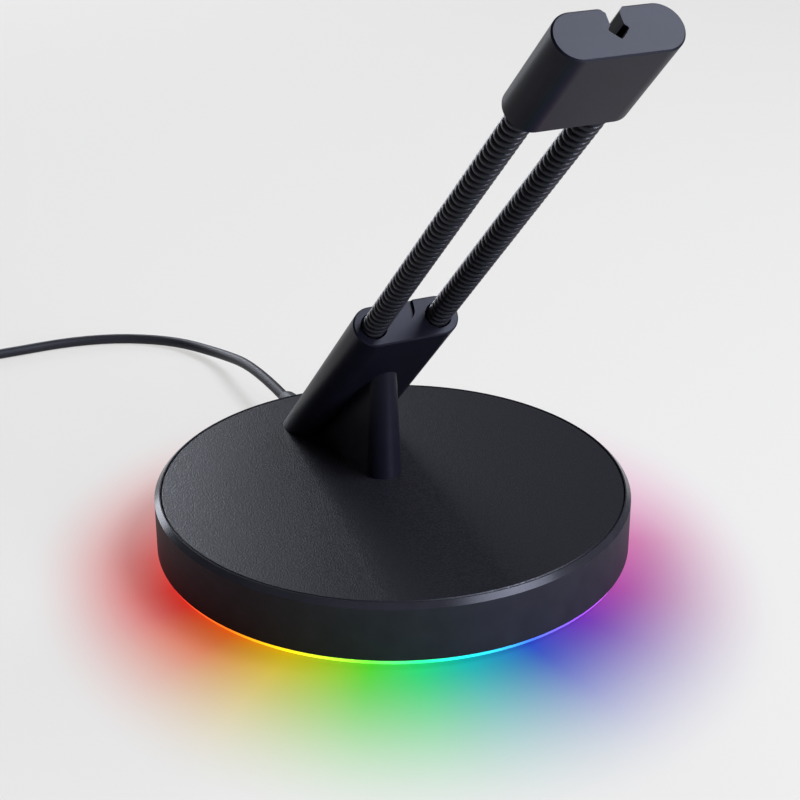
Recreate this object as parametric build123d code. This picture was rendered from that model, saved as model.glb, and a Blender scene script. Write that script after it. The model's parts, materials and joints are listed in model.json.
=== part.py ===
from build123d import *
import os
from math import cos, radians, sin, sqrt, tan

# Mouse bungee: a weighted round base with a lit ring, a slanted holder, two coil springs and a cord clip.
# Millimetres. The origin lies on the desk under the middle of the base and +Z is up.
# The arm leans towards -Y, and the lead leaves the back of the base at +Y.

# Base shell, from the desk upwards
base_diameter = 100.0
desk_clearance = 0.8  # underside of the base above the desk
light_band = 1.2  # height of the lit ring that shows under the wall
wall_thickness = 2.6
rim_chamfer = 1.0
rim_land = 0.25  # flat of the rim inside its chamfer
plate_gap = 0.25  # groove round the top plate
plate_thickness = 2.0
plate_edge = 0.2
deck_thickness = 1.8
fit_clearance = 0.2  # between moulded pieces that slip together

# Lit ring
light_setback = 0.5  # lit ring inside the wall's outer face
light_edge = 0.3
guide_thickness = 2.4  # upright part that catches the lamps' light
guide_height = 4.2

# Bottom cover and foot
cover_thickness = 1.8
lip_width = 0.9  # cover's lip under the lit ring
lip_thickness = 0.8
collar_radius = 3.6
collar_height = 1.2
rib_width = 4.0  # rib that carries the board
rib_height = 0.8
foot_setback = 1.85  # rubber ring inside the cover's edge
foot_width = 6.5
foot_depth = 0.6  # sunk into the cover
foot_play = 0.1

# Weight
weight_setback = 2.5  # inside the board's outer edge
weight_thickness = 4.2

# Board and what is on it
board_setback = 0.8  # inside the lit ring
board_width = 8.0
board_thickness = 1.2
board_room = 1.6  # height left over the board
lamp_count = 16
lamp_width = 2.8
lamp_depth = 1.6
lamp_height = 1.2
lamp_setback = 0.8  # inside the board's outer edge
chip_size = 4.0
chip_height = 0.9
chip_angle = 225.0
header_width = 9.0
header_depth = 5.5
header_setback = 1.0  # inside the board's outer edge
header_cover = 0.6  # header above the lead that enters it

# Screws: head radius, head height, shank radius
housing_screw = (2.2, 1.4, 1.2)
holder_screw = (2.75, 1.8, 1.5)
weight_screw = (2.4, 1.2, 1.25)
board_screw = (1.7, 1.0, 0.9)
screw_play = 0.05  # shank in its own thread
screw_pass = 0.2  # shank through a plain hole
head_play = 0.4  # head in its hole
screw_margin = 2.55  # cover left between a screw's hole and the foot
housing_screw_count = 4
housing_screw_grip = 5.0  # thread in the boss
boss_radius = 3.0
weight_screw_circle = 22.0
weight_screw_count = 3
board_screw_count = 3
board_screw_grip = 2.0
holder_screw_inset = 1.0  # rear screw ahead of the leg's back centre
holder_screw_grip = 8.0
counterbore_depth = 1.5

# Arm, measured along its slanted axis from the base's top plane
arm_tilt = 45.0
arm_foot = 32.5  # Y where the axis meets the top plane
arm_width = 22.7
arm_thickness = 8.56
arm_edge = 0.3  # chamfer of the end faces
holder_length = 55.35
spring_free_length = 83.7  # springs between holder and clip
clip_length = 21.1

# Leg under the holder
leg_nose_radius = 3.9
leg_nose_centre = 5.1
leg_back_radius = 6.5
leg_back_centre = 28.0
leg_draft = 2.3

# Springs
spring_diameter = 5.0
spring_pitch = 1.73
spring_groove = 0.5
spring_bore = 1.8
socket_play = 0.05
mouth_play = 0.3  # wider mouth of the holder's sockets
mouth_depth = 2.0
holder_socket_depth = 14.0
clip_socket_depth = 12.0

# Cord slot of the clip
slot_mouth = 4.3
slot_throat = 2.36
slot_pocket = 3.8  # across the corners of the square pocket
slot_pocket_place = 0.45  # pocket's middle behind the clip's middle plane
slot_round = 0.4

# Cord rest in the holder's top face
rest_radius = 2.5
rest_place = 2.4
rest_mouth = 5.4
rest_depth = 0.75

# Lead and its boot
lead_diameter = 2.6
lead_straight = 20.0  # first run out of the boot
boot_radius = 2.9
boot_tip_radius = 1.9
boot_straight = 6.0
boot_length = 11.5
boot_neck_radius = 2.2
boot_flange_width = 9.0
boot_flange_height = 5.4
boot_flange_thickness = 1.4
boot_play = 0.05

# Put-away coil, its tie and the plug
coil_centre = (-88.0, 110.0)
coil_columns = 4
coil_layers = 4
coil_diameters = 12  # middle of the turns, in lead diameters
floor_gap = 0.05
tie_width = 5.0
tie_thickness = 0.6
tie_play = 0.4
tie_angle = -60.0
tail_height = 4.0
tail_length = 18.5
lead_sink = 0.3  # lead's surface inside the coil's outer face
grip_width = 13.5
grip_length = 21.0
grip_round = 2.0
shell_width = 12.0
shell_height = 4.5
shell_wall = 0.3
shell_length = 14.0
tongue_thickness = 1.9
tongue_length = 12.0
contact_count = 4
contact_pitch = 2.4
contact_width = 1.0
contact_thickness = 0.2
contact_length = 8.0

# Radii that follow from the sizes above, from the wall inwards
base_radius = base_diameter / 2
wall_inner = base_radius - wall_thickness
recess_radius = base_radius - rim_chamfer - rim_land
plate_radius = recess_radius - plate_gap
light_outer = base_radius - light_setback
guide_outer = wall_inner - fit_clearance
light_inner = guide_outer - guide_thickness
cover_radius = light_inner - fit_clearance
lip_radius = light_inner + lip_width - fit_clearance
foot_outer = cover_radius - foot_setback
foot_inner = foot_outer - foot_width
housing_screw_circle = foot_inner - foot_play - screw_margin - housing_screw[0] - head_play
board_outer = light_inner - board_setback
board_inner = board_outer - board_width
board_middle = (board_outer + board_inner) / 2
lamp_radius = board_outer - lamp_setback - lamp_depth / 2
weight_radius = board_outer - weight_setback
header_back = board_outer - header_setback

# Heights that follow, from the desk upwards
wall_bottom = desk_clearance + light_band
guide_top = wall_bottom + guide_height
lip_top = desk_clearance + lip_thickness
cover_top = desk_clearance + cover_thickness
collar_top = cover_top + collar_height
board_bottom = cover_top + rib_height
board_top = board_bottom + board_thickness
weight_bottom = board_top + board_room
deck_bottom = weight_bottom + weight_thickness
deck_top = deck_bottom + deck_thickness
base_top = deck_top + plate_thickness
lead_radius = lead_diameter / 2
lead_height = deck_bottom - fit_clearance - boot_flange_height / 2
header_top = lead_height + lead_radius + header_cover

# Places along the lead's boot and along the arm
boot_front = base_radius + boot_play
boot_tip = boot_front + boot_length
flange_front = sqrt(wall_inner**2 - (boot_flange_width / 2) ** 2) - boot_play
flange_back = flange_front - boot_flange_thickness
spring_spacing = arm_width - arm_thickness
spring_top = holder_length + spring_free_length

# Plane across the arm: local X is the width, local Y points up and back, local Z runs along the arm
arm_axis = Vector(0, -cos(radians(arm_tilt)), sin(radians(arm_tilt)))
arm_plane = Plane(origin=(0, arm_foot, base_top), x_dir=(1, 0, 0), z_dir=arm_axis)
arm_line = Axis(arm_plane.origin, arm_axis)


def turned(points):
    """A solid of revolution about the base's axis from (radius, height) points."""
    return revolve(Plane.XZ * make_face(Polyline(points, close=True)), Axis.Z)


def post(place, radius, low, high):
    """An upright round post or hole."""
    return Pos(place[0], place[1], low) * extrude(Circle(radius), high - low)


def tube_ring(outer, inner, low, high):
    """A flat ring about the base's axis."""
    return Pos(0, 0, low) * extrude(Circle(outer) - Circle(inner), high - low)


def round_places(radius, count, first):
    """Places spaced evenly on a circle about the base's axis."""
    turns = [radians(first + 360 * i / count) for i in range(count)]
    return [(radius * cos(a), radius * sin(a)) for a in turns]


housing_places = round_places(housing_screw_circle, housing_screw_count, 45)
weight_places = round_places(weight_screw_circle, weight_screw_count, -90)
board_places = round_places(board_middle, board_screw_count, -90)
holder_places = [(0, leg_nose_centre + leg_nose_radius), (0, leg_back_centre - holder_screw_inset)]


def screws(places, sizes, seat, tip):
    """Round-headed screws: the head lies beyond the seat, and the shank runs from there to the tip."""
    head_radius, head_height, shank_radius = sizes
    head_end = seat - head_height if tip > seat else seat + head_height
    solids = []
    for place in places:
        head = post(place, head_radius, min(seat, head_end), max(seat, head_end))
        shank = post(place, shank_radius, min(seat, tip), max(seat, tip))
        solids.append((head + shank).solid())
    return Compound(solids)


def make_base_housing():
    """Wall, chamfered rim and inner deck, with the screw bosses under the deck."""
    shell = turned([
        (0, deck_top),
        (recess_radius, deck_top),
        (recess_radius, base_top),
        (base_radius - rim_chamfer, base_top),
        (base_radius, base_top - rim_chamfer),
        (base_radius, wall_bottom),
        (wall_inner, wall_bottom),
        (wall_inner, deck_bottom),
        (0, deck_bottom),
    ])
    for place in housing_places:
        shell += post(place, boss_radius, collar_top, deck_top)
    for place in housing_places:
        shell -= post(place, housing_screw[2] + screw_play, collar_top, deck_bottom)
    for place in weight_places:
        shell -= post(place, weight_screw[2] + screw_play, deck_bottom, deck_top)
    for place in holder_places:
        shell -= post(place, holder_screw[2] + screw_pass, deck_bottom, deck_top)
    hole = Plane(origin=(0, 0, lead_height), z_dir=(0, 1, 0)) * Circle(boot_neck_radius + boot_play)
    return shell - extrude(hole, base_diameter)


def make_top_plate():
    """Textured disc let into the rim, clamped under the holder."""
    plate = post((0, 0), plate_radius, deck_top, base_top)
    plate = chamfer(plate.edges().group_by(Axis.Z)[-1], plate_edge)
    for place in holder_places:
        plate -= post(place, holder_screw[2] + screw_pass, deck_top, base_top)
    return plate


def make_light_ring():
    """Translucent ring under the wall, with an upright guide inside it and a notch for the boot's flange."""
    ring = turned([
        (lip_radius + fit_clearance, desk_clearance),
        (light_outer - light_edge, desk_clearance),
        (light_outer, desk_clearance + light_edge),
        (light_outer, wall_bottom),
        (guide_outer, wall_bottom),
        (guide_outer, guide_top),
        (light_inner, guide_top),
        (light_inner, lip_top),
        (lip_radius + fit_clearance, lip_top),
    ])
    notch_low = lead_height - boot_flange_height / 2 - fit_clearance
    notch_high = max(guide_top, notch_low) + fit_clearance
    notch = Rectangle(boot_flange_width + 2 * fit_clearance, base_radius, align=(Align.CENTER, Align.MIN))
    return ring - Pos(0, 0, notch_low) * extrude(notch, notch_high - notch_low)


def make_bottom_cover():
    """Disc that closes the base, with a lip under the lit ring, screw collars and the board's rib."""
    cover = turned([
        (0, desk_clearance),
        (lip_radius, desk_clearance),
        (lip_radius, lip_top),
        (cover_radius, lip_top),
        (cover_radius, cover_top),
        (board_middle + rib_width / 2, cover_top),
        (board_middle + rib_width / 2, board_bottom),
        (board_middle - rib_width / 2, board_bottom),
        (board_middle - rib_width / 2, cover_top),
        (0, cover_top),
    ])
    for place in housing_places:
        cover += post(place, collar_radius, desk_clearance + counterbore_depth, collar_top)
    for place in housing_places:
        cover -= post(place, housing_screw[0] + head_play, desk_clearance, desk_clearance + counterbore_depth)
        cover -= post(place, housing_screw[2] + screw_pass, desk_clearance, collar_top)
    for place in board_places:
        cover -= post(place, board_screw[2] + screw_play, board_bottom - board_screw_grip, board_bottom)
    groove_top = desk_clearance + foot_depth
    return cover - tube_ring(foot_outer + foot_play, foot_inner - foot_play, desk_clearance, groove_top)


def make_foot_ring():
    """Rubber ring sunk into the cover, on which the base stands."""
    return tube_ring(foot_outer, foot_inner, 0, desk_clearance + foot_depth)


def make_weight_plate():
    """Steel plate under the deck, cleared for bosses, screw heads and the lead's connector."""
    plate = post((0, 0), weight_radius, weight_bottom, deck_bottom)
    for place in housing_places:
        plate -= post(place, boss_radius + head_play, weight_bottom, deck_bottom)
    for place in weight_places:
        plate -= post(place, weight_screw[2] + screw_pass, weight_bottom, deck_bottom)
    for place in holder_places:
        plate -= post(place, holder_screw[0] + head_play, weight_bottom, deck_bottom)
    notch_front = header_back - header_depth - head_play
    notch = Rectangle(header_width + 2 * head_play, base_radius, align=(Align.CENTER, Align.MIN))
    return plate - Pos(0, notch_front, weight_bottom) * extrude(notch, weight_thickness)


def make_led_board():
    """Ring-shaped circuit board on the cover's rib."""
    board = tube_ring(board_outer, board_inner, board_bottom, board_top)
    for place in board_places:
        board -= post(place, board_screw[2] + screw_pass, board_bottom, board_top)
    return board


def make_leds():
    """Side-shining lamps along the board's outer edge."""
    lamp = Pos(lamp_radius, 0, board_top) * extrude(Rectangle(lamp_depth, lamp_width), lamp_height)
    step = 360 / lamp_count
    return Compound([(Rot(0, 0, step * (i + 0.5)) * lamp).solid() for i in range(lamp_count)])


def make_controller_chip():
    """Driver of the lamps."""
    chip = Pos(board_middle, 0, board_top) * extrude(Rectangle(chip_size, chip_size), chip_height)
    return Rot(0, 0, chip_angle) * chip


def make_lead_header():
    """Connector on the board that takes the lead's end."""
    block = Rectangle(header_width, header_depth, align=(Align.CENTER, Align.MAX))
    return Pos(0, header_back, board_top) * extrude(block, header_top - board_top)


def make_inner_lead():
    """The lead's end between the connector and the boot's flange."""
    section = Plane(origin=(0, header_back, lead_height), z_dir=(0, 1, 0)) * Circle(lead_radius)
    return extrude(section, flange_back - header_back)


def make_strain_relief():
    """Boot with a flange inside the wall, a neck through it and a rounded tip."""
    tip_run = boot_radius - boot_tip_radius
    profile = Polyline(
        (0, flange_back),
        (boot_neck_radius, flange_back),
        (boot_neck_radius, boot_front),
        (boot_radius, boot_front),
        (boot_radius, boot_front + boot_straight),
        (boot_tip_radius + tip_run / 3, boot_tip - tip_run),
        (boot_tip_radius, boot_tip),
        (0, boot_tip),
        close=True,
    )
    boot = revolve(make_face(profile), Axis.Y)
    flange = Plane(origin=(0, flange_back, 0), x_dir=(1, 0, 0), z_dir=(0, 1, 0))
    flange = extrude(flange * Rectangle(boot_flange_width, boot_flange_height), boot_flange_thickness)
    return Pos(0, 0, lead_height) * (boot + flange)


def arm_bar(low, high):
    """A stretch of the arm's flat bar with full-round edges."""
    return extrude(arm_plane.offset(low) * SlotOverall(arm_width, arm_thickness), high - low)


def spring_hole(side, radius, low, high):
    """A round hole along the arm at one spring's axis."""
    place = Pos(side * spring_spacing / 2, 0)
    return extrude(arm_plane.offset(low) * place * Circle(radius), high - low)


def leg_outline(height):
    """The leg's drafted outline at a height above the top plane: two circles and their tangents."""
    drawn_in = height * tan(radians(leg_draft))
    nose = Pos(0, leg_nose_centre) * Circle(leg_nose_radius - drawn_in)
    back = Pos(0, leg_back_centre) * Circle(leg_back_radius - drawn_in)
    return Plane.XY.offset(base_top + height) * make_hull(nose.edges() + back.edges())


def make_arm_holder():
    """Slanted bar and its drafted leg as one moulding, with spring sockets and a cord rest in the top face."""
    bar = arm_bar(-arm_thickness, holder_length)
    bar = chamfer(bar.faces().sort_by(arm_line)[-1].edges(), arm_edge)
    leg_height = (arm_foot - leg_nose_centre + leg_nose_radius) * tan(radians(arm_tilt)) + arm_thickness
    leg = loft([leg_outline(0), leg_outline(leg_height)], ruled=True)
    middle = Plane(origin=arm_plane.origin, z_dir=arm_plane.y_dir)
    holder = bar + split(leg, bisect_by=middle, keep=Keep.BOTTOM)
    below = Rectangle(2 * base_diameter, 2 * base_diameter)
    holder -= Pos(0, 0, base_top) * extrude(below, -base_diameter)
    for side in (-1, 1):
        seat = holder_length - holder_socket_depth
        holder -= spring_hole(side, spring_diameter / 2 + socket_play, seat, holder_length)
        holder -= spring_hole(side, spring_diameter / 2 + mouth_play, holder_length - mouth_depth, holder_length)
    for place in holder_places:
        holder -= post(place, holder_screw[2] + screw_play, base_top, base_top + holder_screw_grip + screw_pass)
    edge = arm_thickness / 2 + arm_edge
    mouth = Polyline(
        (-rest_radius, rest_place), (-rest_mouth / 2, edge),
        (rest_mouth / 2, edge), (rest_radius, rest_place), close=True,
    )
    rest = Pos(0, rest_place) * Circle(rest_radius) + make_face(mouth)
    return holder - extrude(arm_plane.offset(holder_length - rest_depth) * rest, rest_depth)


def make_spring(side):
    """One close-wound spring: a ridge for each visible turn, plain ends in the sockets and an open bore."""
    outer = spring_diameter / 2
    first = holder_length - holder_socket_depth
    last = spring_top + clip_socket_depth
    ridges_start = holder_length - mouth_depth - first
    ridges_end = spring_top - first
    turns = round((ridges_end - ridges_start) / spring_pitch)
    pitch = (ridges_end - ridges_start) / turns
    points = [(spring_bore / 2, 0), (outer, 0)]
    for turn in range(turns):
        points.append((outer, ridges_start + turn * pitch))
        points.append((outer - spring_groove, ridges_start + (turn + 0.5) * pitch))
    points += [(outer, ridges_end), (outer, last - first), (spring_bore / 2, last - first)]
    place = arm_plane.offset(first).location * Pos(side * spring_spacing / 2, 0)
    return place * turned(points)


def make_cord_clip():
    """Clip head: the bar's end with a keyhole slot along it, open at the back, and two spring sockets."""
    clip_end = spring_top + clip_length
    clip = arm_bar(spring_top, clip_end)
    ends = clip.faces().sort_by(arm_line)
    clip = chamfer(ends[0].edges() + ends[-1].edges(), arm_edge)
    for side in (-1, 1):
        radius = spring_diameter / 2 + socket_play
        clip -= spring_hole(side, radius, spring_top, spring_top + clip_socket_depth)
    back = arm_thickness / 2
    flare = (slot_mouth - slot_throat) / 2
    funnel = Polyline(
        (-slot_throat / 2, -slot_pocket_place), (-slot_throat / 2, back - flare),
        (-slot_mouth / 2, back), (-slot_mouth / 2, arm_thickness), (slot_mouth / 2, arm_thickness),
        (slot_mouth / 2, back), (slot_throat / 2, back - flare), (slot_throat / 2, -slot_pocket_place),
        close=True,
    )
    square = Rot(0, 0, 45) * RectangleRounded(slot_pocket / sqrt(2), slot_pocket / sqrt(2), slot_round)
    slot = make_face(funnel) + Pos(0, slot_pocket_place) * square
    return clip - extrude(arm_plane.offset(spring_top) * slot, clip_length)


# Coil sizes that follow from the lead
coil_middle = coil_diameters * lead_diameter / 2
coil_outer = coil_middle + coil_columns * lead_radius
coil_inner = coil_middle - coil_columns * lead_radius
coil_low = floor_gap + tie_thickness + floor_gap
coil_high = coil_low + coil_layers * lead_diameter
lead_floor = lead_radius + floor_gap
enter_radius = coil_outer - lead_radius - lead_sink
tail_start = (coil_centre[0] - enter_radius, coil_centre[1], tail_height)
grip_back = coil_centre[1] - tail_length

# Route of the lead from the boot to the coil, chosen by hand on the desk's surface
lead_route = [
    (0, boot_tip, lead_height),
    (0, boot_tip + lead_straight, lead_height),
    (-1.5, 104, 2.8),
    (-10, 122, lead_floor),
    (-29, 131.5, lead_floor),
    (-56, 131, lead_floor),
    (coil_centre[0], coil_centre[1] + enter_radius, coil_low + lead_radius + lead_sink),
]


def corner_radii(points):
    """The largest arcs that the runs of a route leave room for."""
    radii = []
    for before, here, after in zip(points, points[1:], points[2:]):
        arriving = Vector(*here) - Vector(*before)
        leaving = Vector(*after) - Vector(*here)
        half_turn = radians(arriving.get_angle(leaving) / 2)
        radii.append(0.45 * min(arriving.length, leaving.length) / tan(half_turn))
    return radii


def make_usb_lead():
    """The lead from the boot to the coil, in straight runs joined by arcs."""
    radii = corner_radii(lead_route)
    print("lead radii", [round(r, 1) for r in radii])
    path = FilletPolyline(*lead_route, radius=radii)
    lead = sweep(Plane(origin=path @ 0, z_dir=path % 0) * Circle(lead_radius), path)
    section = Circle(lead_radius).area
    print("lead run", round(path.length, 1), "volume ratio", round(lead.volume / (section * path.length), 4))
    return lead


def make_usb_lead_coil():
    """Outer shape of the put-away turns."""
    ring = extrude(Circle(coil_outer) - Circle(coil_inner), coil_high - coil_low)
    return Pos(coil_centre[0], coil_centre[1], coil_low) * ring


def make_coil_tie():
    """Strap round the turns."""
    width = coil_outer - coil_inner + 2 * tie_play
    height = coil_high - coil_low + 2 * floor_gap
    strap = RectangleRounded(width + 2 * tie_thickness, height + 2 * tie_thickness, tie_thickness)
    strap -= RectangleRounded(width, height, tie_thickness / 2)
    middle = Plane(origin=(coil_middle, 0, (coil_low + coil_high) / 2), x_dir=(1, 0, 0), z_dir=(0, 1, 0))
    band = extrude(middle * strap, tie_width / 2, both=True)
    return Pos(*coil_centre) * Rot(0, 0, tie_angle) * band


# Plane at the back of the plug's grip: local X is the width and local Z points out of the plug
plug_plane = Plane(origin=(tail_start[0], grip_back, tail_height), x_dir=(1, 0, 0), z_dir=(0, -1, 0))
shell_plane = plug_plane.offset(grip_length)


def make_usb_lead_tail():
    """The lead's last stretch, from the coil into the plug."""
    section = Plane(origin=tail_start, z_dir=(0, -1, 0)) * Circle(lead_radius)
    return extrude(section, tail_length)


def make_plug_grip():
    """Moulded grip of the plug, tapered towards the lead."""
    grip_height = 2 * (tail_height - floor_gap)
    grip = extrude(plug_plane * RectangleRounded(grip_width, grip_height, grip_round), grip_length)
    return chamfer(grip.faces().sort_by(Axis.Y)[-1].edges(), grip_round / 2)


def make_plug_shell():
    """Metal sleeve of the plug."""
    inner = Rectangle(shell_width - 2 * shell_wall, shell_height - 2 * shell_wall)
    return extrude(shell_plane * (Rectangle(shell_width, shell_height) - inner), shell_length)


tongue_width = shell_width - 2 * shell_wall
tongue_low = shell_wall - shell_height / 2


def make_plug_tongue():
    """Insulator that fills one half of the sleeve."""
    tongue = Rectangle(tongue_width, tongue_thickness, align=(Align.CENTER, Align.MIN))
    return extrude(shell_plane * Pos(0, tongue_low) * tongue, tongue_length)


def make_plug_contacts():
    """Contact strips on the tongue."""
    strip = Rectangle(contact_width, contact_thickness, align=(Align.CENTER, Align.MIN))
    start = shell_plane.offset(tongue_length - contact_length)
    solids = []
    for i in range(contact_count):
        across = (i - (contact_count - 1) / 2) * contact_pitch
        place = Pos(across, tongue_low + tongue_thickness)
        solids.append(extrude(start * place * strip, contact_length).solid())
    return Compound(solids)


housing_seat = desk_clearance + counterbore_depth
parts = {
    "base_housing": make_base_housing(),
    "top_plate": make_top_plate(),
    "light_ring": make_light_ring(),
    "bottom_cover": make_bottom_cover(),
    "foot_ring": make_foot_ring(),
    "weight_plate": make_weight_plate(),
    "led_board": make_led_board(),
    "leds": make_leds(),
    "controller_chip": make_controller_chip(),
    "lead_header": make_lead_header(),
    "inner_lead": make_inner_lead(),
    "strain_relief": make_strain_relief(),
    "arm_holder": make_arm_holder(),
    "left_spring": make_spring(-1),
    "right_spring": make_spring(1),
    "cord_clip": make_cord_clip(),
    "housing_screws": screws(housing_places, housing_screw, housing_seat, collar_top + housing_screw_grip),
    "weight_screws": screws(weight_places, weight_screw, weight_bottom, deck_top),
    "holder_screws": screws(holder_places, holder_screw, deck_bottom, base_top + holder_screw_grip),
    "board_screws": screws(board_places, board_screw, board_top, board_bottom - board_screw_grip),
    "usb_lead": make_usb_lead(),
    "usb_lead_coil": make_usb_lead_coil(),
    "usb_lead_tail": make_usb_lead_tail(),
    "coil_tie": make_coil_tie(),
    "plug_grip": make_plug_grip(),
    "plug_shell": make_plug_shell(),
    "plug_tongue": make_plug_tongue(),
    "plug_contacts": make_plug_contacts(),
}

os.makedirs("parts", exist_ok=True)
for name, solid in parts.items():
    export_step(solid, f"parts/{name}.step")
    print(name, round(solid.volume, 2))
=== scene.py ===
# %% [markdown]
# # A mouse bungee with a lit base
# This lesson dresses the CAD model of a desk stand that holds a mouse cord off the desk. A weighted round
# base glows underneath, and a slanted arm of two wound springs carries a slotted clip. The CAD model fixes
# every place and size, so the first step only loads it.

import json
import math

import bpy
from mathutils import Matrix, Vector


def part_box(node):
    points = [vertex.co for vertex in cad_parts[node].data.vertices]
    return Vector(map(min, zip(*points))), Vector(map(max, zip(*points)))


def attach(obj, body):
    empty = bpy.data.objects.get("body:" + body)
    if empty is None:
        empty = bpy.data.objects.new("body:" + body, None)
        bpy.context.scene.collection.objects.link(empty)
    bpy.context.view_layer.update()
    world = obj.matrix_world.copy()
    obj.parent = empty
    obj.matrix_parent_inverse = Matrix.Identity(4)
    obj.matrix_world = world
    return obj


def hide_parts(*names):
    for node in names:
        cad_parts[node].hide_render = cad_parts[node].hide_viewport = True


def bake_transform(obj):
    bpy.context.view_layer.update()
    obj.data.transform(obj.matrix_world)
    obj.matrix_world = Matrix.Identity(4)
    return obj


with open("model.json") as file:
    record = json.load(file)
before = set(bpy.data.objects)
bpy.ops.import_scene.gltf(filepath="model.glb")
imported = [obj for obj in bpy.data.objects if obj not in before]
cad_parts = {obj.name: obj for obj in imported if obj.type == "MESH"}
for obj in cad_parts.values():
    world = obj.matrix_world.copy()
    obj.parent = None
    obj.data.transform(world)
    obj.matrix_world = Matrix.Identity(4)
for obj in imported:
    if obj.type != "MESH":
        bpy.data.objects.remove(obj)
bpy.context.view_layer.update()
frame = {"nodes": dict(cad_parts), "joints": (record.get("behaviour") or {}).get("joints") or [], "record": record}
nodes = frame["nodes"]
scene = bpy.context.scene

# %% [markdown]
# ## The camera
# The picture was taken from the front left, a little above the clip. A long lens far away would give the same
# angle with flatter ellipses, so place, aim and lens were fitted together to the base's rim and to the arm.

# %% Camera
camera_place = Vector((-0.14161, -0.30835, 0.19141))
camera_aim = Vector((0.01495, 0.02860, 0.01804))
camera_lens = 81.58
film_width = 36.0

camera_data = bpy.data.cameras.new("camera")
camera_data.sensor_width = film_width
camera_data.lens = camera_lens
camera = bpy.data.objects.new("camera", camera_data)
camera.location = camera_place
camera.rotation_euler = (camera_aim - camera_place).to_track_quat("-Z", "Y").to_euler()
scene.collection.objects.link(camera)
scene.camera = camera
scene.view_settings.view_transform = "Standard"
print("camera distance:", round((camera_aim - camera_place).length, 3))

# %% [markdown]
# ## The lead
# A thin round lead leaves the back of the base, drops to the desk and runs to a tied coil beside the stand.
# A chain of tubes would show its corners, so one NURBS curve takes the route as its control points. The coil
# is wound on the same curve: turn after turn, each in the next place of a grid four wide and four high, in an
# order that starts at the bottom outside and ends one layer up on the outside, where the plug's end leaves.
# The curve's thickness is each point's own radius times a bevel of 1, because Blender adds those radii to the
# curve's outer box, and the usual radius of 1 m would spoil the comparison of sizes at the end.

# %% The lead's route and coil
lead_diameter = 0.0026
lead_route = [
    (0.0, 0.06155, 0.0075),
    (0.0, 0.08155, 0.0075),
    (-0.0015, 0.104, 0.0028),
    (-0.010, 0.122, 0.00135),
    (-0.029, 0.1315, 0.00135),
    (-0.056, 0.131, 0.00135),
]
coil_low, coil_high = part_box("usb_lead_coil")
coil_centre = (coil_low + coil_high) / 2
coil_outer = (coil_high.x - coil_low.x) / 2
coil_columns = 4
coil_layers = 4
coil_order = [(column, 0) for column in reversed(range(coil_columns))]
for column in range(coil_columns):
    climb = list(range(1, coil_layers))
    coil_order += [(column, layer) for layer in (climb if column % 2 == 0 else reversed(climb))]


def coil_cell(turn):
    """Radius and height of one turn of the coil."""
    column, layer = coil_order[min(turn, len(coil_order) - 1)]
    radius = coil_outer - lead_diameter * (coil_columns - column - 0.5)
    height = coil_low.z + lead_diameter * (layer + 0.5)
    return Vector((radius, height))


points_per_turn = 16
cross_over = 0.3


def coil_point(step):
    """A control point of the coil, which moves over to the next turn's place near the end of each turn."""
    turn, part = divmod(step, points_per_turn)
    share = max(0.0, part / points_per_turn - (1.0 - cross_over)) / cross_over
    ease = share * share * (3.0 - 2.0 * share)
    radius, height = coil_cell(turn).lerp(coil_cell(turn + 1), ease)
    angle = math.radians(90.0) + step * math.tau / points_per_turn
    return (coil_centre.x + radius * math.cos(angle), coil_centre.y + radius * math.sin(angle), height)


coil_steps = (len(coil_order) - 1) * points_per_turn + points_per_turn // 4
coil_points = [coil_point(step) for step in range(coil_steps + 1)]
grip_low, grip_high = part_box("plug_grip")
grip_middle = (grip_low + grip_high) / 2
straight_from = 0.4
tail_points = [
    (grip_middle.x, coil_centre.y + straight_from * (grip_high.y - coil_centre.y), grip_middle.z),
    (grip_middle.x, grip_high.y, grip_middle.z),
]
print("coil points:", len(coil_points))

# %% The lead as one curve
lead_curve = bpy.data.curves.new("usb_lead_run", "CURVE")
lead_curve.dimensions = "3D"
lead_curve.bevel_depth = 1.0
lead_curve.bevel_resolution = 4
lead_curve.resolution_u = 6
lead_curve.use_fill_caps = True
lead_points = lead_route + coil_points + tail_points
lead_spline = lead_curve.splines.new("NURBS")
lead_spline.points.add(len(lead_points) - 1)
for point, place in zip(lead_spline.points, lead_points):
    point.co = (*place, 1.0)
    point.radius = lead_diameter / 2
lead_spline.order_u = 3
lead_spline.use_endpoint_u = True

lead = bpy.data.objects.new("lead", lead_curve)
scene.collection.objects.link(lead)
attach(lead, "base")
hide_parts("usb_lead", "usb_lead_coil", "usb_lead_tail")

# %% [markdown]
# ## The two springs
# Each side of the arm is a close-wound spring of round black wire. A ridged tube would give the outline, but
# the light between the turns gives wire away, so the wire is swept along its helix. The arm bends at two
# places in the CAD model: it nods against the base, and its head sways sideways. Each spring is cut a little
# above its middle, a set reach above the nod's hinge, into a lower and an upper length.

# %% The arm's line
arm_lean = math.radians(45.0)
arm_axis = Vector((0.0, -math.sin(arm_lean), math.cos(arm_lean)))
arm_back = Vector((0.0, math.cos(arm_lean), math.sin(arm_lean)))
across = Vector((1.0, 0.0, 0.0))
spring_low, spring_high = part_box("left_spring")
spring_diameter = spring_high.x - spring_low.x
spring_middle = (spring_low + spring_high) / 2
spring_length = (spring_high.z - spring_low.z) / math.cos(arm_lean) - spring_diameter
print("spring:", round(spring_diameter, 5), "by", round(spring_length, 5))


def arm_point(height, side):
    """A point on a spring's axis, height measured from the middle of its length."""
    return Vector((side * abs(spring_middle.x), spring_middle.y, spring_middle.z)) + arm_axis * height


# %% Wind one length of spring
wire_diameter = 0.00158
wire_pitch = 0.00173
wire_sides = 12
wire_steps = 30


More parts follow.
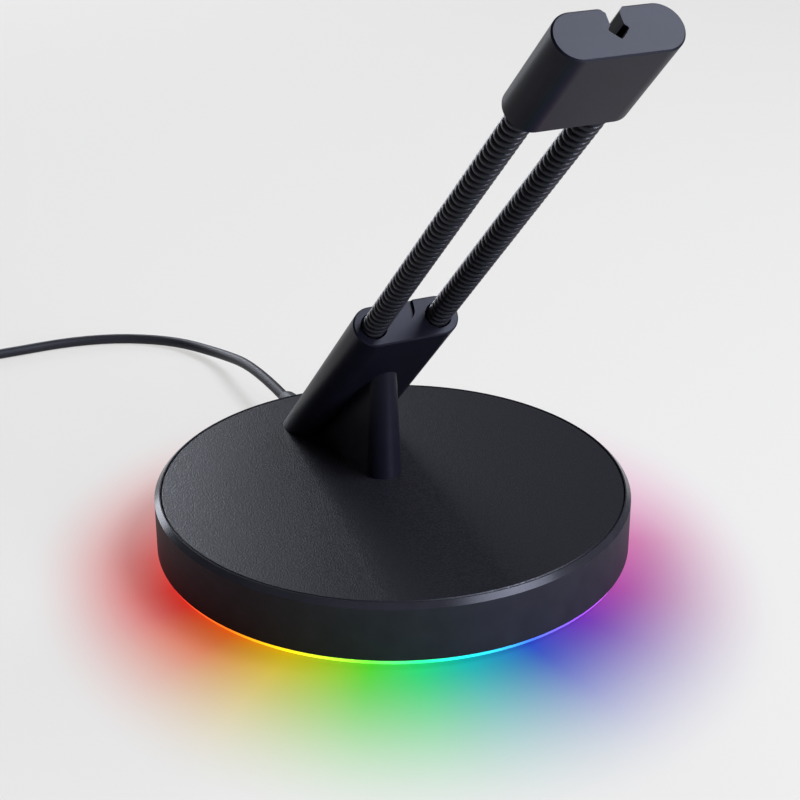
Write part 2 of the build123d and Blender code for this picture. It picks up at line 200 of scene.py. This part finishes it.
def wound_wire(name, side, low, high):
    """Round wire swept along a helix between two heights on the arm's line, closed at both ends."""
    turns = (high - low) / wire_pitch
    rings = round(turns * wire_steps) + 1
    mean_radius = (spring_diameter - wire_diameter) / 2
    corners = []
    for ring in range(rings):
        angle = math.tau * ring / wire_steps
        outward = across * math.cos(angle) + arm_back * math.sin(angle)
        middle = arm_point(low + wire_pitch * ring / wire_steps, side) + outward * mean_radius
        for corner in range(wire_sides):
            turn = math.tau * corner / wire_sides
            offset = outward * math.cos(turn) + arm_axis * math.sin(turn)
            corners.append(middle + offset * wire_diameter / 2)
    faces = []
    for ring in range(rings - 1):
        for corner in range(wire_sides):
            here = ring * wire_sides + corner
            beside = ring * wire_sides + (corner + 1) % wire_sides
            faces.append((here, beside, beside + wire_sides, here + wire_sides))
    faces.append(tuple(reversed(range(wire_sides))))
    faces.append(tuple(range((rings - 1) * wire_sides, rings * wire_sides)))
    mesh = bpy.data.meshes.new(name)
    mesh.from_pydata(corners, [], faces)
    mesh.shade_smooth()
    piece = bpy.data.objects.new(name, mesh)
    scene.collection.objects.link(piece)
    return piece


# %% Both springs, cut where the lower bend ends
nod_hinge = next(joint for joint in frame["joints"] if joint["name"] == "arm_nod")
hinge_height = (Vector(nod_hinge["pos_m"]) - arm_point(0.0, 0)).dot(arm_axis)
bend_reach = 0.024
end_play = 0.0006
free_cut = hinge_height + bend_reach
springs = []
for spring_name, side in (("left_spring", -1), ("right_spring", 1)):
    lower = wound_wire(spring_name + "_lower", side, end_play - spring_length / 2, free_cut)
    upper = wound_wire(spring_name + "_upper", side, free_cut, spring_length / 2 - end_play)
    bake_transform(lower)
    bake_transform(upper)
    for piece in (lower, upper):
        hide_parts(spring_name)
        springs.append(piece)
print("spring pieces:", [(piece.name, len(piece.data.polygons)) for piece in springs])

# %% [markdown]
# ## Moulded plastic
# Almost everything in view is black moulded plastic. What tells the pieces apart is the grain that the mould
# was given: sand on the plate, a finer satin on shell and arm. One helper makes them all from noise in real
# units. A fine noise gives bump and roughness, and a coarse one shifts the colour a little, so that no face
# is flat.

# %% Helpers for materials
cool_gloss = (0.80, 0.83, 1.0, 1.0)
noise_low = 0.3
noise_high = 0.7


def new_finish(name, roughness, specular):
    """A material with its principled shader, constant values on the shader's own sockets."""
    material = bpy.data.materials.new(name)
    material.use_nodes = True
    shader = material.node_tree.nodes["Principled BSDF"]
    shader.inputs["Roughness"].default_value = roughness
    shader.inputs["Specular IOR Level"].default_value = specular
    shader.inputs["Specular Tint"].default_value = cool_gloss
    return material, shader


def add_node(material, kind, **settings):
    """A new node: settings named as its inputs are set there, others on the node."""
    node = material.node_tree.nodes.new(kind)
    for name, value in settings.items():
        label = name.replace("_", " ").title()
        if label in node.inputs:
            node.inputs[label].default_value = value
        else:
            setattr(node, name, value)
    return node


def link(material, output, target):
    """Join an output socket to an input socket."""
    material.node_tree.links.new(output, target)


def grain_noise(material, size, stretch=(1.0, 1.0, 1.0), detail=3.0):
    """Noise with features of a size in metres, fixed to the object."""
    place = add_node(material, "ShaderNodeTexCoord")
    mapping = add_node(material, "ShaderNodeMapping", scale=stretch)
    noise = add_node(material, "ShaderNodeTexNoise", scale=1.0 / size, detail=detail)
    link(material, place.outputs["Object"], mapping.inputs["Vector"])
    link(material, mapping.outputs["Vector"], noise.inputs["Vector"])
    return noise.outputs[0]


def spread(material, value, low, high):
    """Noise, which keeps near a half, spread over a range."""
    node = add_node(material, "ShaderNodeMapRange", to_min=low, to_max=high)
    node.inputs["From Min"].default_value = noise_low
    node.inputs["From Max"].default_value = noise_high
    link(material, value, node.inputs["Value"])
    return node.outputs["Result"]


def between(material, value, dark, light):
    """Colour that goes from dark to light as noise goes from low to high."""
    ramp = add_node(material, "ShaderNodeValToRGB")
    ramp.color_ramp.elements[0].position = noise_low
    ramp.color_ramp.elements[0].color = (*dark, 1.0)
    ramp.color_ramp.elements[1].position = noise_high
    ramp.color_ramp.elements[1].color = (*light, 1.0)
    link(material, value, ramp.inputs["Fac"])
    return ramp.outputs["Color"]


def bump(material, shader, height, depth):
    """Relief of a depth in metres."""
    node = add_node(material, "ShaderNodeBump", strength=1.0, distance=depth)
    link(material, height, node.inputs["Height"])
    link(material, node.outputs["Normal"], shader.inputs["Normal"])


# %% Moulded finishes
mottle_grains = 14.0
gloss_play = 0.02


def moulded(name, colour, roughness, specular, grain, depth, mottle=0.12):
    """Moulded plastic or rubber with a grain of a size and depth in metres."""
    material, shader = new_finish(name, roughness, specular)
    fine = grain_noise(material, grain)
    coarse = grain_noise(material, grain * mottle_grains)
    dark = [part * (1.0 - mottle) for part in colour]
    light = [part * (1.0 + mottle) for part in colour]
    link(material, between(material, coarse, dark, light), shader.inputs["Base Color"])
    gloss = spread(material, fine, roughness - gloss_play, roughness + gloss_play)
    link(material, gloss, shader.inputs["Roughness"])
    bump(material, shader, fine, depth)
    return material


# Each line has the colour, roughness, specular level, and the grain's size and depth in metres
finishes = {
    "arm_plastic": moulded("satin black arm", (0.004, 0.004, 0.008), 0.38, 0.1, 0.0003, 0.000006),
    "cover_plastic": moulded("textured black cover", (0.02, 0.02, 0.02), 0.6, 0.4, 0.0005, 0.00003),
    "foot_rubber": moulded("black foot rubber", (0.02, 0.02, 0.02), 0.8, 0.3, 0.0006, 0.00003),
    "chip_resin": moulded("black chip resin", (0.015, 0.015, 0.015), 0.6, 0.4, 0.0002, 0.00001),
    "header_plastic": moulded("natural nylon", (0.7, 0.67, 0.58), 0.5, 0.5, 0.0004, 0.00001, 0.05),
    "lead_jacket": moulded("black lead jacket", (0.012, 0.012, 0.015), 0.5, 0.2, 0.0004, 0.00001),
    "tie_plastic": moulded("black strap", (0.014, 0.014, 0.014), 0.6, 0.4, 0.0005, 0.00003),
    "tongue_plastic": moulded("plug tongue", (0.6, 0.6, 0.6), 0.5, 0.5, 0.0004, 0.00001, 0.05),
    "lamp_resin": moulded("lamp resin", (0.8, 0.8, 0.74), 0.25, 0.5, 0.0005, 0.00001, 0.04),
    "board_laminate": moulded("solder mask", (0.012, 0.07, 0.035), 0.35, 0.5, 0.0008, 0.00001, 0.25),
}
print("moulded finishes:", sorted(finishes))

# %% [markdown]
# ## The shell with its bright chamfer
# The shell has the same satin, but the chamfer round its top edge is smooth and catches the lamps as a bright
# line. A mask in one material could turn its gloss up there, but the gloss level has to stay a plain number
# to survive export. So the shell gets two materials, and each face takes one by its height.

# %% Shell finishes
chamfer_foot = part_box("base_housing")[1].z - 0.0011
shell_black = (0.012, 0.012, 0.016)
finishes["shell_plastic"] = moulded("satin black shell", shell_black, 0.5, 0.07, 0.0003, 0.00001)
chamfer_gloss = moulded("smooth black chamfer", shell_black, 0.2, 0.26, 0.0003, 0.000002)
print("chamfer starts at", round(chamfer_foot, 4))

# %% [markdown]
# ## The sand-textured plate
# The disc in the top of the base has a coarser grain than the shell, and it glints in single specks under a
# low light. A flat grey would look like card, and plain noise looks like leather. Round cells a third of a
# millimetre wide look like sand, and each cell is one grain with a shade and a gloss of its own.

# %% Sand finish
sand_grain = 0.00034
sand_relief = 0.00003
sand_dark = (0.0028, 0.0028, 0.004)
sand_light = (0.0085, 0.0085, 0.0115)
sand_matt = 0.48
sand_shiny = 0.32


def sand(name):
    """Plastic with a grain like sand."""
    material, shader = new_finish(name, 0.4, 0.32)
    place = add_node(material, "ShaderNodeTexCoord")
    grains = add_node(material, "ShaderNodeTexVoronoi", scale=1.0 / sand_grain)
    link(material, place.outputs["Object"], grains.inputs["Vector"])
    shade = grains.outputs["Color"]
    colour = between(material, shade, sand_dark, sand_light)
    link(material, colour, shader.inputs["Base Color"])
    link(material, spread(material, shade, sand_matt, sand_shiny), shader.inputs["Roughness"])
    bump(material, shader, grains.outputs["Distance"], sand_relief)
    return material


finishes["plate_plastic"] = sand("sand plate")
print("sand finish made")

# %% [markdown]
# ## Metal
# The wire is coated black with a slight shine, and the plug, screws and weight are bare or plated steel.
# Drawn and rolled metal has fine lines along one way. Painted lines would show their repeats, so the same
# noise is stretched along that way before it sets bump and gloss.

# %% Metal finishes
metal_specular = 0.28
line_dark = 0.85
line_light = 1.1
line_gloss = 0.07


def drawn_metal(name, colour, roughness, metallic, grain, depth, stretch):
    """Bare or coated metal with lines along the axis in which the noise is stretched."""
    material, shader = new_finish(name, roughness, metal_specular)
    shader.inputs["Metallic"].default_value = metallic
    lines = grain_noise(material, grain, stretch)
    dark = [part * line_dark for part in colour]
    light = [part * line_light for part in colour]
    link(material, between(material, lines, dark, light), shader.inputs["Base Color"])
    gloss = spread(material, lines, roughness - line_gloss, roughness + line_gloss)
    link(material, gloss, shader.inputs["Roughness"])
    bump(material, shader, lines, depth)
    return material


along_x = (0.1, 1.0, 1.0)
along_y = (1.0, 0.1, 1.0)
even = (1.0, 1.0, 1.0)
wire_black = (0.005, 0.005, 0.007)
rolled_grey = (0.42, 0.42, 0.43)
finishes["spring_steel"] = drawn_metal("coated wire", wire_black, 0.32, 0.0, 0.0003, 0.000008, even)
finishes["weight_steel"] = drawn_metal("rolled weight", rolled_grey, 0.42, 1.0, 0.0006, 0.00001, along_x)
finishes["screw_steel"] = drawn_metal("dark screws", (0.22, 0.22, 0.23), 0.35, 1.0, 0.0003, 0.00001, even)
finishes["plug_steel"] = drawn_metal("plug shell", (0.62, 0.62, 0.63), 0.28, 1.0, 0.0003, 0.000006, along_y)
finishes["contact_brass"] = drawn_metal("contacts", (0.8, 0.6, 0.24), 0.25, 1.0, 0.0003, 0.000005, along_y)
print("metal finishes made")

# %% [markdown]
# ## The lit ring and its colours
# The lamps behind the frosted ring each shine in a colour of their own, so the hue goes once round the base.
# As many little lamps in Blender would leave steps, and the frost in front of the real ones smooths them. A
# radial gradient round the base's axis read through a colour ramp does that, and the ring's glow painted on
# the desk uses the same ramp.

# %% Hue round the base
# Each stop has the angle in degrees from +X, the colour, and how strongly it is painted on the desk as glow
hue_stops = [
    (165.0, (0.74, 0.050, 0.040), 0.9),  # red
    (188.0, (0.72, 0.035, 0.018), 1.0),  # red
    (205.0, (0.75, 0.150, 0.008), 1.0),  # orange
    (221.0, (0.68, 0.510, 0.007), 1.0),  # yellow
    (240.0, (0.10, 0.670, 0.035), 1.0),  # green
    (251.0, (0.02, 0.660, 0.190), 1.0),  # sea green
    (262.0, (0.008, 0.450, 0.440), 1.0),  # cyan
    (278.0, (0.025, 0.080, 0.520), 1.0),  # blue
    (295.0, (0.17, 0.037, 0.430), 1.0),  # violet
    (312.0, (0.40, 0.070, 0.360), 1.0),  # purple
    (335.0, (0.58, 0.130, 0.370), 0.92),  # magenta
    (0.0, (0.74, 0.220, 0.480), 0.6),  # rose
    (35.0, (0.76, 0.260, 0.480), 0.25),  # rose
    (65.0, (0.78, 0.260, 0.360), 0.05),  # rose
    (100.0, (0.78, 0.220, 0.230), 0.22),  # red
    (138.0, (0.78, 0.090, 0.090), 0.6),  # red
]


def hue_round_base(material):
    """Colour, and as alpha the strength of its painted glow on the desk, by the angle round the base in degrees
    from +X.
    """
    place = add_node(material, "ShaderNodeTexCoord")
    angle = add_node(material, "ShaderNodeTexGradient", gradient_type="RADIAL")
    ramp = add_node(material, "ShaderNodeValToRGB")
    link(material, place.outputs["Object"], angle.inputs["Vector"])
    link(material, angle.outputs["Fac"], ramp.inputs["Fac"])
    seam = (0.73, 0.040, 0.028, 1.0)
    elements = ramp.color_ramp.elements
    elements[0].color = seam
    elements[1].color = seam
    for degrees, colour, strength in hue_stops:
        elements.new((degrees + 180.0) % 360.0 / 360.0).color = (*colour, strength)
    return ramp


ring_glow = 1.6
frost_grain = 0.0004
frost_relief = 0.00002


def lit_frost(name):
    """Frosted plastic that glows in the hue at its place round the base."""
    material, shader = new_finish(name, 0.45, 0.4)
    hue = hue_round_base(material).outputs["Color"]
    link(material, hue, shader.inputs["Base Color"])
    link(material, hue, shader.inputs["Emission Color"])
    shader.inputs["Emission Strength"].default_value = ring_glow
    bump(material, shader, grain_noise(material, frost_grain), frost_relief)
    return material


finishes["light_diffuser"] = lit_frost("lit frost")
print("hue stops:", len(hue_stops))

# %% Give every piece its finish
slots = {subpart["node"]: subpart["material_slot"] for subpart in frame["record"]["subparts"]}
for name, node in nodes.items():
    node.data.materials.clear()
    node.data.materials.append(finishes[slots[name]])
shell = nodes["base_housing"].data
shell.materials.append(chamfer_gloss)
for face in shell.polygons:
    face.material_index = 1 if face.center.z > chamfer_foot else 0
lead_curve.materials.append(finishes["lead_jacket"])
for piece in springs:
    piece.data.materials.append(finishes["spring_steel"])
print("finished nodes:", len(slots))

# %% [markdown]
# ## The desk and the ring's glow painted on it
# The stand is on a pale desk, and the ring throws its colours on it. Light added to a nearly white desk would
# only bleach, while a photograph of it keeps the colours, so that light is painted into the desk's own colour:
# it goes over to the hue close to the base and back to pale 3 to 5 cm away from it. The desk is written a
# little warm, because the cool lamps would tint a plain grey.

# %% Desk
desk_grey = 0.823
desk_colour = (0.8235, 0.815, 0.803, 1.0)
desk_half = 3.0
desk_top = -0.00005
base_low, base_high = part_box("base_housing")
base_radius = (base_high.x - base_low.x) / 2
# The ring's glow is painted into the desk's colour from just inside the rim out to these reaches
painted_glow_start = base_radius - 0.003
painted_glow_side = base_radius + 0.028
painted_glow_front = base_radius + 0.050
front_angle = math.radians(255.0)

desk_mesh = bpy.data.meshes.new("desk")
desk_corners = [(-desk_half, -desk_half, desk_top), (desk_half, -desk_half, desk_top)]
desk_corners += [(desk_half, desk_half, desk_top), (-desk_half, desk_half, desk_top)]
desk_mesh.from_pydata(desk_corners, [], [(0, 1, 2, 3)])
desk = bpy.data.objects.new("desk", desk_mesh)
scene.collection.objects.link(desk)


def painted_glow_amount(material, strength):
    """How far the ring's glow is painted into the desk's colour: all under the rim, none at its reach, longest in
    front.
    """
    place = add_node(material, "ShaderNodeTexCoord")
    away = add_node(material, "ShaderNodeVectorMath", operation="LENGTH")
    way = add_node(material, "ShaderNodeVectorMath", operation="NORMALIZE")
    to_front = add_node(material, "ShaderNodeVectorMath", operation="DOT_PRODUCT")
    to_front.inputs[1].default_value = (math.cos(front_angle), math.sin(front_angle), 0.0)
    front = add_node(material, "ShaderNodeMath", operation="MAXIMUM")
    front.inputs[1].default_value = 0.0
    squared = add_node(material, "ShaderNodeMath", operation="POWER")
    squared.inputs[1].default_value = 2.0
    reach = add_node(material, "ShaderNodeMapRange", to_min=painted_glow_side, to_max=painted_glow_front)
    fade = add_node(material, "ShaderNodeMapRange", interpolation_type="SMOOTHSTEP")
    fade.inputs["From Min"].default_value = painted_glow_start
    fade.inputs["To Min"].default_value = 1.0
    fade.inputs["To Max"].default_value = 0.0
    amount = add_node(material, "ShaderNodeMath", operation="MULTIPLY")
    link(material, place.outputs["Object"], away.inputs[0])
    link(material, place.outputs["Object"], way.inputs[0])
    link(material, way.outputs["Vector"], to_front.inputs[0])
    link(material, to_front.outputs["Value"], front.inputs[0])
    link(material, front.outputs[0], squared.inputs[0])
    link(material, squared.outputs[0], reach.inputs["Value"])
    link(material, reach.outputs["Result"], fade.inputs["From Max"])
    link(material, away.outputs["Value"], fade.inputs["Value"])
    link(material, fade.outputs["Result"], amount.inputs[0])
    link(material, strength, amount.inputs[1])
    return amount.outputs[0]


# %% The desk's material
shadow_share = 0.2
own_share = 0.867


def painted_glow_desk(name):
    """Pale matt desk with the ring's glow painted into its colour. The camera sees it mostly at its own colour,
    with part of the shadow on it.
    """
    material = bpy.data.materials.new(name)
    material.use_nodes = True
    tree = material.node_tree
    tree.nodes.remove(tree.nodes["Principled BSDF"])
    hue = hue_round_base(material)
    # Painted glow: near the base the desk's colour is mixed over to the ring's hue
    # The colours of a mix node are its inputs 6 and 7 and its output 2
    colour = add_node(material, "ShaderNodeMix", data_type="RGBA")
    colour.inputs[6].default_value = desk_colour
    link(material, painted_glow_amount(material, hue.outputs["Alpha"]), colour.inputs[0])
    link(material, hue.outputs["Color"], colour.inputs[7])
    matt = add_node(material, "ShaderNodeBsdfDiffuse")
    plain = add_node(material, "ShaderNodeEmission", strength=own_share)
    link(material, colour.outputs[2], matt.inputs["Color"])
    link(material, colour.outputs[2], plain.inputs["Color"])
    seen = add_node(material, "ShaderNodeMixShader")
    seen.inputs[0].default_value = shadow_share
    link(material, plain.outputs[0], seen.inputs[1])
    link(material, matt.outputs[0], seen.inputs[2])
    path = add_node(material, "ShaderNodeLightPath")
    mirrored = add_node(material, "ShaderNodeMath", operation="MAXIMUM")
    looked_at = add_node(material, "ShaderNodeMath", operation="MAXIMUM")
    link(material, path.outputs["Is Glossy Ray"], mirrored.inputs[0])
    link(material, path.outputs["Is Transmission Ray"], mirrored.inputs[1])
    link(material, path.outputs["Is Camera Ray"], looked_at.inputs[0])
    link(material, mirrored.outputs[0], looked_at.inputs[1])
    final = add_node(material, "ShaderNodeMixShader")
    link(material, looked_at.outputs[0], final.inputs[0])
    link(material, matt.outputs[0], final.inputs[1])
    link(material, seen.outputs[0], final.inputs[2])
    link(material, final.outputs[0], tree.nodes["Material Output"].inputs["Surface"])
    return material


desk_mesh.materials.append(painted_glow_desk("pale desk with painted glow"))
print("glow reaches", round(painted_glow_side, 4), "to", round(painted_glow_front, 4))

# %% [markdown]
# ## Light
# Black plastic shows mostly what it mirrors. One large lamp overhead would be simple, but every face would be
# equally grey. So a soft box behind is near the mirror direction of the plate's left half and makes it grey
# there, and a weaker one beside it draws the left edges. One above on the right lights the clip's end, and a
# long one beside it the chamfer in front. A low one in front lifts the wall, and a weak sky fills the rest.

# %% Lamps and sky
cool_light = (0.90, 0.93, 1.0)


def soft_box(name, place, aim, width, power, height=None, beam=180.0):
    """A square or oblong lamp in metres and watts, whose light keeps within a beam in degrees."""
    lamp = bpy.data.lights.new(name, "AREA")
    lamp.shape = "RECTANGLE"
    lamp.size = width
    lamp.size_y = height or width
    lamp.energy = power
    lamp.color = cool_light
    lamp.spread = math.radians(beam)
    holder = bpy.data.objects.new(name, lamp)
    holder.location = place
    holder.rotation_euler = (Vector(aim) - Vector(place)).to_track_quat("-Z", "Y").to_euler()
    scene.collection.objects.link(holder)


soft_box("back_box", (0.0, 1.02, 0.41), (0.0, 0.0, 0.02), 0.36, 5.8)
soft_box("left_back_box", (-0.36, 0.98, 0.20), (0.0, 0.0, 0.05), 0.36, 2.6)
soft_box("top_right_box", (0.52, -0.32, 0.95), (0.0, -0.08, 0.12), 0.36, 13.0)
soft_box("chamfer_box", (0.455, -0.557, 0.75), (0.0, -0.05, 0.02), 0.62, 5.5, height=0.3)
soft_box("low_front_box", (0.36, -0.74, 0.16), (0.0, 0.0, 0.01), 0.4, 2.2, beam=80.0)
sky_fill = 0.15
sky = bpy.data.worlds.new("sky")
sky.use_nodes = True
backdrop = sky.node_tree.nodes["Background"]
backdrop.inputs["Color"].default_value = (desk_grey, desk_grey, desk_grey, 1.0)
path = sky.node_tree.nodes.new("ShaderNodeLightPath")
level = sky.node_tree.nodes.new("ShaderNodeMapRange")
level.inputs["To Min"].default_value = sky_fill
sky.node_tree.links.new(path.outputs["Is Camera Ray"], level.inputs["Value"])
sky.node_tree.links.new(level.outputs["Result"], backdrop.inputs["Strength"])
scene.world = sky

# %% [markdown]
# ## Finish

# %% Finish
bpy.context.view_layer.update()
